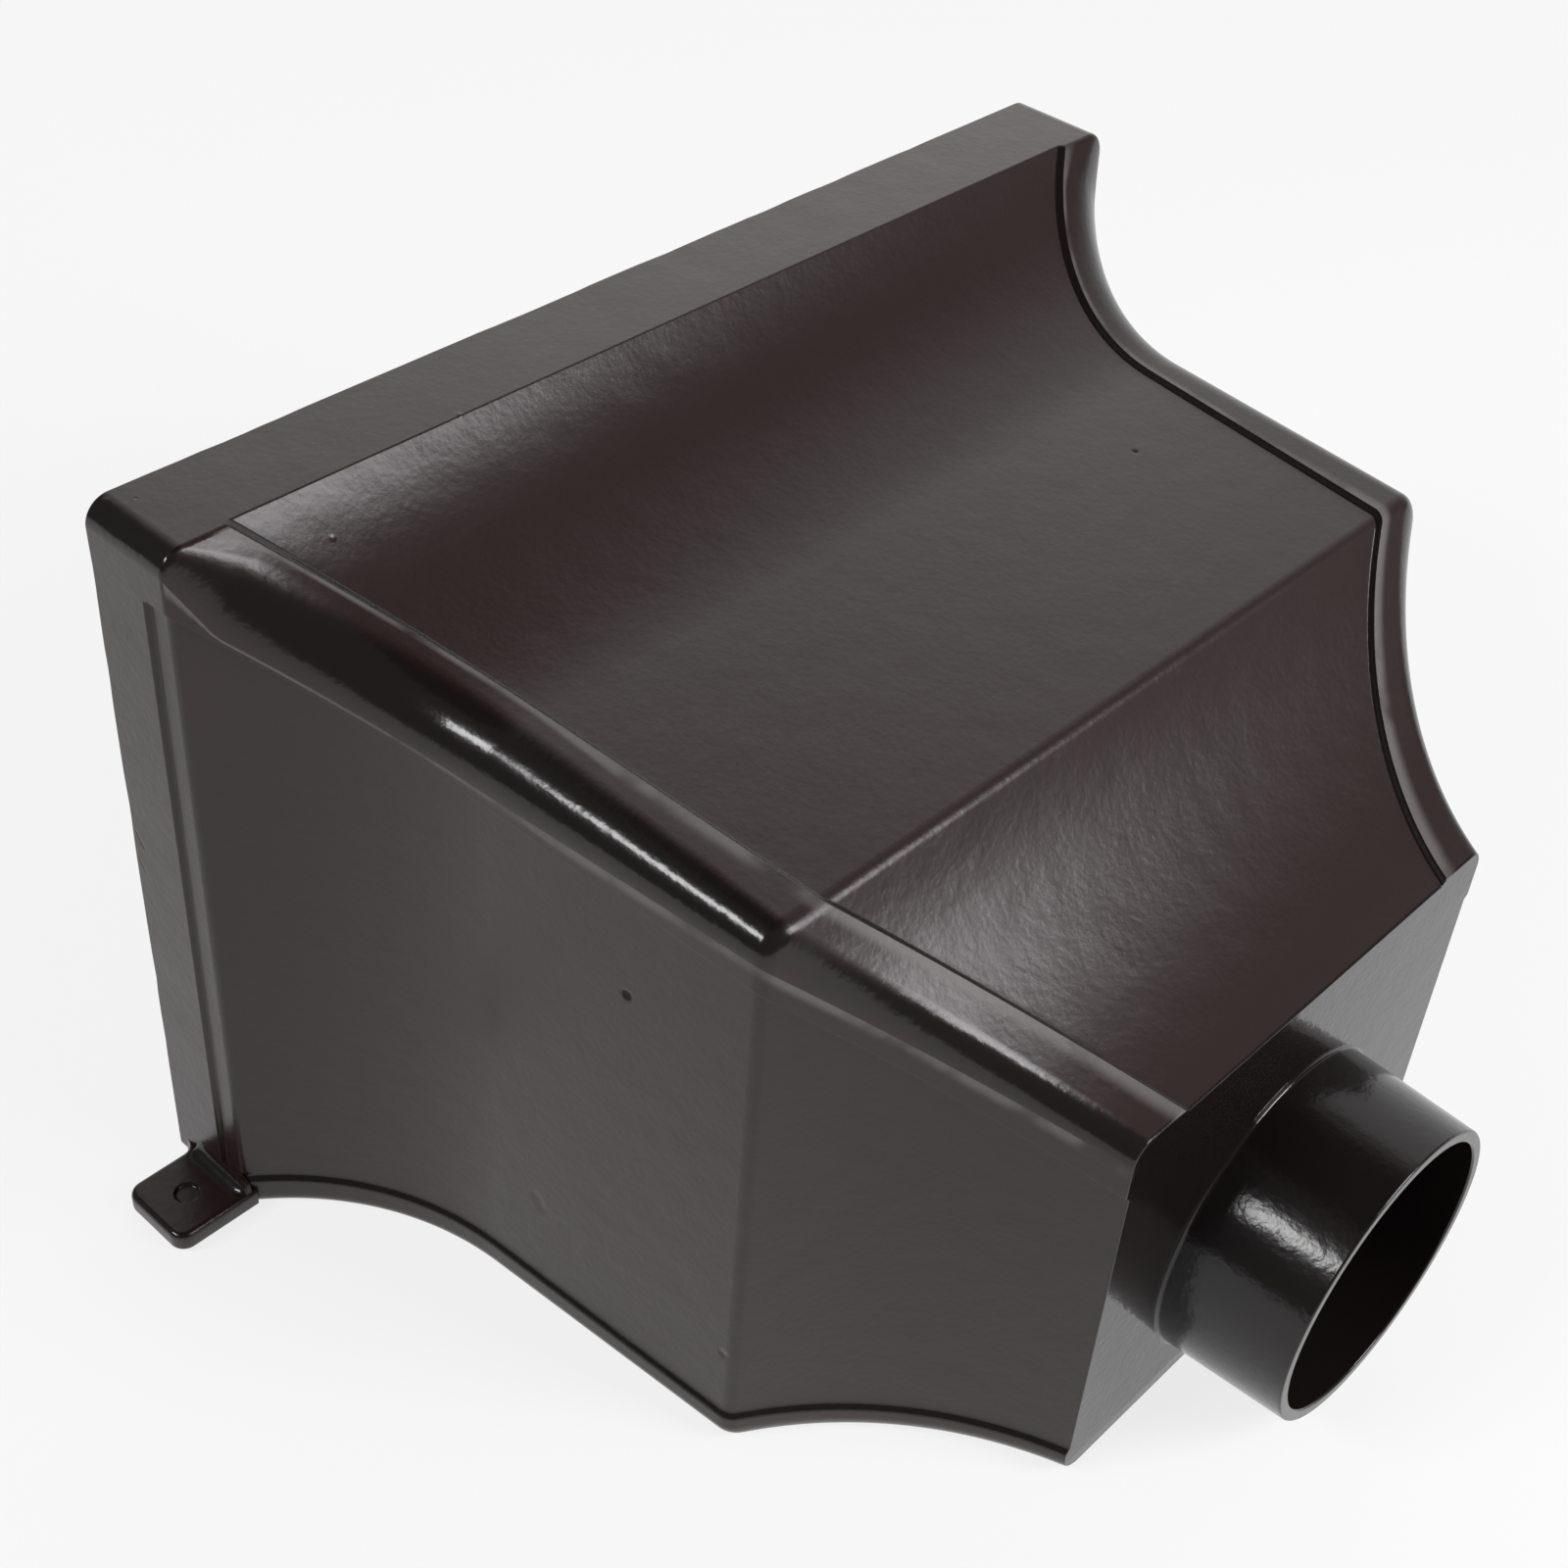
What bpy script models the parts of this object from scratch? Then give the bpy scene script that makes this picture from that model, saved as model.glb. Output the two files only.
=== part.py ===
"""Rainwater hopper head, moulded in one piece.

It is modelled as it hangs on a wall: the open mouth is up and the outlet spigot points down.
The origin is on the wall plane, in the middle of the width, level with the rim's top edge.
X runs along the wall, -Y points away from it and +Z is up.
"""
import math

import bmesh
import bpy
import numpy as np

MM = 0.001
DEG = math.pi / 180.0

# Mouth and rim band
RIM_WIDTH = 264.0 * MM
RIM_DEPTH = 168.7 * MM
BAND_HEIGHT = 22.6 * MM
BAND_EDGE_RADIUS = 1.6 * MM

# Outline below the band: a hollow curve, a leaning face, a ridge and a second hollow curve.
# Drops are measured down from the rim, insets in from the rim's side or front.
WAIST_DROP = 72.6 * MM
WAIST_INSET = 27.5 * MM
FRONT_WAIST_INSET = 26.6 * MM
FACE_LEAN = 3.6 * DEG
RIDGE_DROP = 136.8 * MM
RIDGE_RADIUS = 4.5 * MM
LOWER_CURVE_TURN = 41.0 * DEG
BASE_DROP = 188.7 * MM
BASE_INSET = 73.7 * MM
FRONT_BASE_INSET = 72.1 * MM

# Rounding of the upright front corners, which swells under the band and fades to the base
RIM_CORNER_RADIUS = 5.3 * MM
COVE_CORNER_RADIUS = 11.5 * MM
CORNER_SWELL_HEIGHT = 5.0 * MM
WAIST_CORNER_RADIUS = 10.5 * MM
RIDGE_CORNER_RADIUS = 6.6 * MM
BASE_CORNER_RADIUS = 4.7 * MM

# Rounding of the upright back edges
RIM_BACK_RADIUS = 2.4 * MM
BASE_BACK_RADIUS = 5.4 * MM

# Raised beads along the front corners and back edges, with sunk panels between them
FRONT_BEAD_WIDTH = 13.9 * MM
SIDE_BEAD_WIDTH = 11.9 * MM
BACK_BEAD_WIDTH = 6.4 * MM
SMALLEST_BEAD_FLAT = 0.4 * MM
PANEL_RECESS = 1.0 * MM
RECESS_EDGE = 2.0 * MM
SIDE_PANEL_TOP = 15.2 * MM
SMALLEST_OUTER_RADIUS = 0.6 * MM

# Wall thicknesses, measured behind the beads
WALL = 3.5 * MM
BACK_WALL = 2.5 * MM
FLOOR = 3.0 * MM
SMALLEST_INNER_RADIUS = 1.2 * MM

# Outlet spigot
SPIGOT_DIAMETER = 68.0 * MM
SPIGOT_LENGTH = 28.5 * MM
SPIGOT_WALL = 2.8 * MM
SPIGOT_DRAFT = 2.4 * DEG
SPIGOT_BACK_GAP = 1.9 * MM
ROOT_FILLET = 0.8 * MM
END_CHAMFER = 0.5 * MM

# Fixing lugs at the back of the rim's sides
LUG_REACH = 18.0 * MM
LUG_TOP_DROP = 5.7 * MM
LUG_HEIGHT = 19.6 * MM
LUG_THICKNESS = 5.0 * MM
LUG_CORNER_RADIUS = 3.5 * MM
LUG_EDGE_ROUND = 1.2 * MM
DIMPLE_DIAMETER = 5.6 * MM
DIMPLE_DEPTH = 0.8 * MM
DIMPLE_TAPER = 30.0 * DEG
LUG_FILLET = 3.0 * MM
LUG_ROOT = 5.0 * MM
LUG_BACK_GAP = 0.2 * MM

# Overlap that makes joined shapes meet, and overshoot that makes cutters pass through
JOIN = 1.0 * MM
OVERSHOOT = 2.0 * MM
MERGE = 0.01 * MM

# Steps along each curve
COVE_STEPS = 12
ROUND_STEPS = 4
CORNER_STEPS = 8
BACK_EDGE_STEPS = 4
SPIGOT_STEPS = 72
DIMPLE_STEPS = 24

BROWN = (0.030, 0.019, 0.016, 1.0)
ROUGHNESS = 0.24


class Cove:
    """A hollow arc of the outline, in (inset, height), seen from outside the wall.

    Slopes are measured from straight down. The arc leaves start at start_slope and reaches end.
    """

    def __init__(self, start, end, start_slope):
        chord_slope = math.atan2(end[0] - start[0], start[1] - end[1])
        self.start_slope = start_slope
        self.end_slope = 2 * chord_slope - start_slope
        half_turn = (self.start_slope - self.end_slope) / 2
        self.radius = math.dist(start, end) / (2 * math.sin(half_turn))
        self.centre = (start[0] - self.radius * math.cos(start_slope),
                       start[1] - self.radius * math.sin(start_slope))

    def point(self, slope, offset):
        """The (inset, height) of the arc where it has this slope, offset into the wall."""
        reach = self.radius + offset
        inset = self.centre[0] + reach * math.cos(slope)
        height = self.centre[1] + reach * math.sin(slope)
        return inset, height

    def slope_at_inset(self, inset, offset):
        """Slope of the offset arc at an inset."""
        return math.acos((inset - self.centre[0]) / (self.radius + offset))

    def slope_at_height(self, height, offset):
        """Slope of the offset arc at a height."""
        return math.asin((height - self.centre[1]) / (self.radius + offset))

    def points(self, first_slope, last_slope, offset):
        """Evenly spaced points between two slopes."""
        slopes = np.linspace(first_slope, last_slope, COVE_STEPS + 1)
        return [self.point(slope, offset) for slope in slopes]


def rounding(corner, slope_in, slope_out, radius):
    """Points of a rounded outward corner of the outline, and the length it takes on each side."""
    length = radius * math.tan((slope_out - slope_in) / 2)
    start = (corner[0] - length * math.sin(slope_in), corner[1] + length * math.cos(slope_in))
    points = []
    for slope in np.linspace(slope_in, slope_out, ROUND_STEPS + 1):
        inset = start[0] + radius * (math.cos(slope_in) - math.cos(slope))
        height = start[1] - radius * (math.sin(slope) - math.sin(slope_in))
        points.append((inset, height))
    return points, length


def side_curves():
    """The two hollow curves, above and below the leaning face."""
    waist = (WAIST_INSET, -WAIST_DROP)
    upper_chord = math.atan2(WAIST_INSET, WAIST_DROP - BAND_HEIGHT)
    upper = Cove((0.0, -BAND_HEIGHT), waist, 2 * upper_chord - FACE_LEAN)
    ridge = (WAIST_INSET + (RIDGE_DROP - WAIST_DROP) * math.tan(FACE_LEAN), -RIDGE_DROP)
    lower_chord = math.atan2(BASE_INSET - ridge[0], BASE_DROP - RIDGE_DROP)
    lower = Cove(ridge, (BASE_INSET, -BASE_DROP), lower_chord + LOWER_CURVE_TURN / 2)
    return upper, lower


def ridge_slope(upper, lower, offset):
    """Slope of the lower curve where the leaning face meets it, both offset into the wall."""
    waist = upper.point(upper.end_slope, offset)
    lean = (math.sin(FACE_LEAN), -math.cos(FACE_LEAN))
    across = (waist[0] - lower.centre[0], waist[1] - lower.centre[1])
    along = across[0] * lean[0] + across[1] * lean[1]
    reach = lower.radius + offset
    run = -along - math.sqrt(along ** 2 - across[0] ** 2 - across[1] ** 2 + reach ** 2)
    return lower.slope_at_height(waist[1] + run * lean[1], offset)


def outer_outline(band_sunk, sunk):
    """The outside of the side wall as (inset, height) points, from the rim to the base.

    The band's lower part lies band_sunk into the wall, and all that is below the band lies sunk.
    """
    upper, lower = side_curves()
    band_slope = upper.slope_at_inset(band_sunk, sunk)
    foot_slope = ridge_slope(upper, lower, sunk)
    base_slope = lower.slope_at_height(-BASE_DROP, sunk)
    band_radius = max(BAND_EDGE_RADIUS - sunk, SMALLEST_OUTER_RADIUS)
    ridge_radius = max(RIDGE_RADIUS - sunk, SMALLEST_OUTER_RADIUS)
    band_corner = upper.point(band_slope, sunk)
    ridge_corner = lower.point(foot_slope, sunk)
    band_round, band_length = rounding(band_corner, 0.0, band_slope, band_radius)
    ridge_round, ridge_length = rounding(ridge_corner, FACE_LEAN, foot_slope, ridge_radius)
    upper_slope = band_slope - band_length / (upper.radius + sunk)
    lower_slope = foot_slope - ridge_length / (lower.radius + sunk)
    points = [(0.0, 0.0), (0.0, -SIDE_PANEL_TOP), (band_sunk, -SIDE_PANEL_TOP - RECESS_EDGE)]
    points += band_round
    points += upper.points(upper_slope, upper.end_slope, sunk)[1:]
    points += ridge_round
    points += lower.points(lower_slope, base_slope, sunk)[1:]
    return points


def inner_outline():
    """The inside of the side wall from above the rim to the floor, one wall thickness in."""
    upper, lower = side_curves()
    band_slope = upper.slope_at_inset(WALL, WALL)
    floor_slope = lower.slope_at_height(FLOOR - BASE_DROP, WALL)
    points = [(WALL, OVERSHOOT)]
    points += upper.points(band_slope, upper.end_slope, WALL)
    points += lower.points(ridge_slope(upper, lower, WALL), floor_slope, WALL)
    return points


def front_inset(inset):
    """How far the front is set in from the rim where the sides are set in by inset."""
    if inset < WAIST_INSET:
        return inset * FRONT_WAIST_INSET / WAIST_INSET
    share = (inset - WAIST_INSET) / (BASE_INSET - WAIST_INSET)
    return FRONT_WAIST_INSET + share * (FRONT_BASE_INSET - FRONT_WAIST_INSET)


def corner_radius(height):
    """Radius of the upright front corner at a height."""
    drops = (BAND_HEIGHT, BAND_HEIGHT + CORNER_SWELL_HEIGHT, WAIST_DROP, RIDGE_DROP, BASE_DROP)
    radii = (RIM_CORNER_RADIUS, COVE_CORNER_RADIUS, WAIST_CORNER_RADIUS, RIDGE_CORNER_RADIUS,
             BASE_CORNER_RADIUS)
    widest = min(FRONT_BEAD_WIDTH, SIDE_BEAD_WIDTH) - SMALLEST_BEAD_FLAT
    return min(float(np.interp(-height, drops, radii)), widest)


def back_radius(height):
    """Radius of the upright back edge at a height."""
    drops = (BAND_HEIGHT, BASE_DROP)
    return float(np.interp(-height, drops, (RIM_BACK_RADIUS, BASE_BACK_RADIUS)))


def corner_arc(centre_x, centre_y, radius, first, last, steps):
    """Points of a rounded corner in plan."""
    angles = np.linspace(first, last, steps + 1)
    return [(centre_x + radius * math.cos(a), centre_y + radius * math.sin(a)) for a in angles]


def outer_ring(bead, side, front):
    """Half a ring round the outside, from the middle of the back to the middle of the front.

    It takes one point each of the outlines of the beads, the side panel and the front panel.
    """
    inset, z = bead
    x = RIM_WIDTH / 2 - inset
    y = front_inset(inset) - RIM_DEPTH
    side_x = RIM_WIDTH / 2 - side[0]
    front_y = front_inset(front[0]) - RIM_DEPTH
    back_r = back_radius(z)
    front_r = corner_radius(z)
    side_bead = y + SIDE_BEAD_WIDTH
    front_bead = x - FRONT_BEAD_WIDTH
    back = corner_arc(x - back_r, -back_r, back_r, math.pi / 2, 0.0, BACK_EDGE_STEPS)
    corner = corner_arc(x - front_r, y + front_r, front_r, 0.0, -math.pi / 2, CORNER_STEPS)
    ring = [(0.0, 0.0, z)]
    ring += [(px, py, z) for px, py in back]
    ring += [(x, -BACK_BEAD_WIDTH, z), (side_x, -BACK_BEAD_WIDTH - RECESS_EDGE, side[1]),
             (side_x, side_bead + RECESS_EDGE, side[1]), (x, side_bead, z)]
    ring += [(px, py, z) for px, py in corner]
    ring += [(front_bead, y, z), (front_bead - RECESS_EDGE, front_y, front[1]),
             (0.0, front_y, front[1])]
    return ring


def inner_section(inset, height):
    """Half of the inside in plan, from the middle of the back to the middle of the front."""
    x = RIM_WIDTH / 2 - inset
    y = front_inset(inset) - RIM_DEPTH
    back_r = max(back_radius(height) - BACK_WALL, SMALLEST_INNER_RADIUS)
    front_r = max(corner_radius(height) - WALL, SMALLEST_INNER_RADIUS)
    back = corner_arc(x - back_r, -BACK_WALL - back_r, back_r, math.pi / 2, 0.0, BACK_EDGE_STEPS)
    front = corner_arc(x - front_r, y + front_r, front_r, 0.0, -math.pi / 2, CORNER_STEPS)
    return [(0.0, -BACK_WALL)] + back + front + [(0.0, y)]


def half_loft(name, rings):
    """A half body skinned over rings of (x, y, z) points, open at x = 0 and mirrored there."""
    mesh = bpy.data.meshes.new(name)
    bm = bmesh.new()
    loops = [[bm.verts.new(point) for point in ring] for ring in rings]
    for upper, lower in zip(loops, loops[1:]):
        for i in range(len(upper) - 1):
            bm.faces.new((upper[i], upper[i + 1], lower[i + 1], lower[i]))
    bm.faces.new(list(reversed(loops[0])))
    bm.faces.new(loops[-1])
    bmesh.ops.recalc_face_normals(bm, faces=bm.faces)
    bm.to_mesh(mesh)
    bm.free()
    obj = bpy.data.objects.new(name, mesh)
    mirror = obj.modifiers.new("both_halves", "MIRROR")
    mirror.merge_threshold = MERGE
    return obj


def outer_body():
    """The outside of the hopper as a full block, with its beads and sunk panels."""
    beads = outer_outline(0.0, 0.0)
    sides = outer_outline(PANEL_RECESS, PANEL_RECESS)
    fronts = outer_outline(0.0, PANEL_RECESS)
    rings = [outer_ring(*points) for points in zip(beads, sides, fronts)]
    return half_loft("hopper_head", rings)


def cavity():
    """The space inside the walls."""
    rings = []
    for inset, height in inner_outline():
        rings.append([(x, y, height) for x, y in inner_section(inset, height)])
    return half_loft("cavity", rings)


def spigot_root_radius():
    """Outer radius of the drafted spigot at the base."""
    return SPIGOT_DIAMETER / 2 + SPIGOT_LENGTH * math.tan(SPIGOT_DRAFT)


def spigot_axis_y():
    """Place of the spigot's axis along Y."""
    return -(spigot_root_radius() + SPIGOT_BACK_GAP)


def spigot_plug():
    """The outside of the spigot, turned, with its root sunk into the floor."""
    root = spigot_root_radius()
    end = SPIGOT_DIAMETER / 2
    profile = [(0.0, JOIN), (root + ROOT_FILLET, JOIN)]
    for angle in np.linspace(0.0, math.pi / 2, ROUND_STEPS + 1):
        across = root + ROOT_FILLET * (1 - math.sin(angle))
        profile.append((across, -ROOT_FILLET * (1 - math.cos(angle))))
    profile += [(end, END_CHAMFER - SPIGOT_LENGTH), (end - END_CHAMFER, -SPIGOT_LENGTH),
                (0.0, -SPIGOT_LENGTH)]
    mesh = bpy.data.meshes.new("spigot_plug")
    edges = [(i, i + 1) for i in range(len(profile) - 1)]
    mesh.from_pydata([(x, 0.0, z) for x, z in profile], edges, [])
    obj = bpy.data.objects.new("spigot_plug", mesh)
    obj.location = (0.0, spigot_axis_y(), -BASE_DROP)
    screw = obj.modifiers.new("turn", "SCREW")
    screw.steps = SPIGOT_STEPS
    screw.render_steps = SPIGOT_STEPS
    screw.use_merge_vertices = True
    screw.merge_threshold = MERGE
    return obj


def spigot_bore():
    """The outlet bore, through the floor and the spigot."""
    radius = SPIGOT_DIAMETER / 2 - SPIGOT_WALL
    top = FLOOR + OVERSHOOT
    bottom = -SPIGOT_LENGTH - OVERSHOOT
    middle = (0.0, spigot_axis_y(), -BASE_DROP + (top + bottom) / 2)
    bpy.ops.mesh.primitive_cylinder_add(vertices=SPIGOT_STEPS, radius=radius, depth=top - bottom,
                                        location=middle)
    obj = bpy.context.active_object
    obj.name = "spigot_bore"
    return obj


def extruded(name, outline, thickness):
    """A flat outline in its own X and Y, thickened both ways along Z, as a closed mesh."""
    curve = bpy.data.curves.new(name, "CURVE")
    curve.dimensions = "2D"
    curve.fill_mode = "BOTH"
    curve.extrude = thickness / 2
    spline = curve.splines.new("POLY")
    spline.points.add(len(outline) - 1)
    for point, (x, y) in zip(spline.points, outline):
        point.co = (x, y, 0.0, 1.0)
    spline.use_cyclic_u = True
    shape = bpy.data.objects.new(name, curve)
    bpy.context.scene.collection.objects.link(shape)
    graph = bpy.context.evaluated_depsgraph_get()
    mesh = bpy.data.meshes.new_from_object(shape.evaluated_get(graph))
    bpy.data.objects.remove(shape)
    bm = bmesh.new()
    bm.from_mesh(mesh)
    bmesh.ops.remove_doubles(bm, verts=bm.verts, dist=MERGE)
    bmesh.ops.recalc_face_normals(bm, faces=bm.faces)
    bm.to_mesh(mesh)
    bm.free()
    return bpy.data.objects.new(name, mesh)


def mirror_to_left(obj):
    """The same shape again on the other side of x = 0."""
    mirror = obj.modifiers.new("both_sides", "MIRROR")
    mirror.merge_threshold = MERGE
    return obj


def lug():
    """The right fixing lug, just off the wall plane, mirrored to the left."""
    side = RIM_WIDTH / 2
    outer = side + LUG_REACH
    top = -LUG_TOP_DROP
    bottom = top - LUG_HEIGHT
    r = LUG_CORNER_RADIUS
    f = LUG_FILLET
    outline = [(side - LUG_ROOT, bottom)]
    outline += corner_arc(outer - r, bottom + r, r, -math.pi / 2, 0.0, CORNER_STEPS)
    outline += corner_arc(outer - r, top - r, r, 0.0, math.pi / 2, CORNER_STEPS)
    outline += corner_arc(side + f, top + f, f, -math.pi / 2, -math.pi, ROUND_STEPS)
    outline += [(side - LUG_ROOT, top + f)]
    obj = extruded("lug", outline, LUG_THICKNESS)
    for vertex in obj.data.vertices:
        across, up, along = vertex.co
        vertex.co = (across, along - LUG_BACK_GAP - LUG_THICKNESS / 2, up)
    obj.data.flip_normals()
    bevel = obj.modifiers.new("soft_edges", "BEVEL")
    bevel.width = LUG_EDGE_ROUND
    bevel.segments = 2
    bevel.limit_method = "ANGLE"
    return mirror_to_left(obj)


def lug_fillet():
    """The hollow fillet where the lug's front face meets the rim's side."""
    x = RIM_WIDTH / 2
    y = -LUG_BACK_GAP - LUG_THICKNESS
    f = LUG_FILLET
    outline = [(x - LUG_ROOT, y + JOIN), (x + f, y + JOIN)]
    outline += corner_arc(x + f, y - f, f, math.pi / 2, math.pi, ROUND_STEPS)
    outline += [(x - LUG_ROOT, y - f)]
    obj = extruded("lug_fillet", outline, LUG_HEIGHT - 3 * LUG_EDGE_ROUND)
    for vertex in obj.data.vertices:
        vertex.co.z -= LUG_TOP_DROP + LUG_HEIGHT / 2
    return mirror_to_left(obj)


def lug_dimple():
    """The shallow drill mark in the middle of the lug's front, mirrored to the left."""
    x = RIM_WIDTH / 2 + LUG_REACH / 2
    y = -LUG_BACK_GAP - LUG_THICKNESS + (DIMPLE_DEPTH - OVERSHOOT) / 2
    z = -LUG_TOP_DROP - LUG_HEIGHT / 2
    flare = math.tan(DIMPLE_TAPER)
    bpy.ops.mesh.primitive_cone_add(vertices=DIMPLE_STEPS, depth=DIMPLE_DEPTH + OVERSHOOT,
                                    radius1=DIMPLE_DIAMETER / 2 + OVERSHOOT * flare,
                                    radius2=DIMPLE_DIAMETER / 2 - DIMPLE_DEPTH * flare)
    obj = bpy.context.active_object
    obj.name = "lug_dimple"
    for vertex in obj.data.vertices:
        across, up, along = vertex.co
        vertex.co = (x + across, y + along, z + up)
    obj.data.flip_normals()
    return mirror_to_left(obj)


def combine(body, tool, operation):
    """Join a tool shape to the body or cut it away."""
    boolean = body.modifiers.new(tool.name, "BOOLEAN")
    boolean.operation = operation
    boolean.object = tool
    boolean.solver = "EXACT"


def brown_plastic():
    """Glossy dark brown moulded plastic."""
    material = bpy.data.materials.new("brown_plastic")
    material.use_nodes = True
    shader = material.node_tree.nodes["Principled BSDF"]
    shader.inputs["Base Color"].default_value = BROWN
    shader.inputs["Roughness"].default_value = ROUGHNESS
    shader.inputs["Metallic"].default_value = 0.0
    return material


def place(obj, collection):
    """Keep an object in one collection only."""
    for other in list(obj.users_collection):
        other.objects.unlink(obj)
    collection.objects.link(obj)


def main():
    for obj in list(bpy.data.objects):
        bpy.data.objects.remove(obj)
    parts = bpy.data.collections.new("rainwater_hopper_head")
    cutters = bpy.data.collections.new("cutters")
    bpy.context.scene.collection.children.link(parts)
    bpy.context.scene.collection.children.link(cutters)

    body = outer_body()
    steps = [(spigot_plug(), "UNION"), (lug(), "UNION"), (lug_fillet(), "UNION"),
             (cavity(), "DIFFERENCE"), (spigot_bore(), "DIFFERENCE"), (lug_dimple(), "DIFFERENCE")]
    place(body, parts)
    for tool, operation in steps:
        place(tool, cutters)
        tool.hide_render = True
        tool.display_type = "WIRE"
        combine(body, tool, operation)
    body.data.materials.append(brown_plastic())
    body.data.shade_smooth()
    body.data.set_sharp_from_angle(angle=30 * DEG)


main()
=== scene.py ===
"""Looks of the rainwater hopper head: its finish, the studio round it and the camera.

The frame's axes are kept: +Z is up as the head hangs, and y = 0 is the wall plane. In the picture
the head lies on its back, so the pale sheet under it is the wall plane itself.
"""

import logging
import math
from dataclasses import dataclass, field
from enum import Enum
from typing import Any

import bmesh
import bpy
from mathutils import Matrix, Vector

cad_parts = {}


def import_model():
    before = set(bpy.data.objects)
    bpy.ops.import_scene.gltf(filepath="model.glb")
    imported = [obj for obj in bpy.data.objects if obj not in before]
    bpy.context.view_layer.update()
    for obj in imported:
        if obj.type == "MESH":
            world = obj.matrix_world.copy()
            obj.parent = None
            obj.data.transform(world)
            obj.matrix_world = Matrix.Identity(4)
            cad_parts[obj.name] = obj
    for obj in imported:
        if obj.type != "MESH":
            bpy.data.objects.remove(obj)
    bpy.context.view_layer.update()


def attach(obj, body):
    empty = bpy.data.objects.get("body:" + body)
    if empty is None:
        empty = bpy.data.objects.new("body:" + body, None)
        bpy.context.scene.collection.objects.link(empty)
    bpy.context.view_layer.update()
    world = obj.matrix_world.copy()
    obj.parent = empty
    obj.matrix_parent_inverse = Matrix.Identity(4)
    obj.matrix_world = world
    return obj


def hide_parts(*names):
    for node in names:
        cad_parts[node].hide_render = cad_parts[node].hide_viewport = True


MM = 0.001
WHITE = (1.0, 1.0, 1.0, 1.0)
# Layer that marks the bead edges where a pale line is painted as their highlight.
PAINTED_EDGE_HIGHLIGHT = "painted_edge_highlight"
LOG = logging.getLogger("hopper_head")

# A span is where a smooth step starts and ends, and waves are features per metre and octaves
Span = tuple[float, float]
Waves = tuple[float, float]
Point = tuple[float, float]
Place = tuple[float, float, float]
Colour = tuple[float, float, float, float]
Ring = list[bmesh.types.BMVert]


class Value:
    """A socket or a number in a shader tree, with the usual operators."""

    def __init__(self, graph: "Graph", source: Any) -> None:
        """Keep the tree and the output socket or number that the value comes from."""
        self.graph = graph
        self.source = source

    def _math(self, operation: str, *others: Any, clamp: bool = False) -> "Value":
        """Add one Math node, whose result stays between 0 and 1 if clamp is set."""
        settings = {"operation": operation, "use_clamp": clamp}
        return self.graph.node("ShaderNodeMath", settings, [self, *others])

    def __add__(self, other: Any) -> "Value":
        """Sum."""
        return self._math("ADD", other)

    __radd__ = __add__

    def __sub__(self, other: Any) -> "Value":
        """Difference."""
        return self._math("SUBTRACT", other)

    def __rsub__(self, other: Any) -> "Value":
        """Difference, the other way round."""
        return Value(self.graph, other)._math("SUBTRACT", self)

    def __mul__(self, other: Any) -> "Value":
        """Product."""
        return self._math("MULTIPLY", other)

    __rmul__ = __mul__

    def __truediv__(self, other: Any) -> "Value":
        """Quotient."""
        return self._math("DIVIDE", other)

    def at_least(self, other: Any) -> "Value":
        """The larger of two values."""
        return self._math("MAXIMUM", other)

    def at_most(self, other: Any) -> "Value":
        """The smaller of two values."""
        return self._math("MINIMUM", other)

    def size(self) -> "Value":
        """The value without its sign."""
        return self._math("ABSOLUTE")

    def root(self) -> "Value":
        """The square root."""
        return self._math("SQRT")

    def kept(self) -> "Value":
        """The value kept between 0 and 1."""
        return self._math("ADD", 0.0, clamp=True)

    def step(self, low: float, high: float) -> "Value":
        """A smooth step from 0 at low to 1 at high.

        Args:
            low: Where the step starts.
            high: Where it ends.

        Returns:
            The step, from 0 to 1.
        """
        settings = {"interpolation_type": "SMOOTHSTEP"}
        inputs = {"Value": self, "From Min": low, "From Max": high}
        return self.graph.node("ShaderNodeMapRange", settings, inputs)

    def toward(self, level: Any, share: "Value") -> "Value":
        """The value blended with another by the other's share."""
        return self * (1 - share) + share * level


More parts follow.
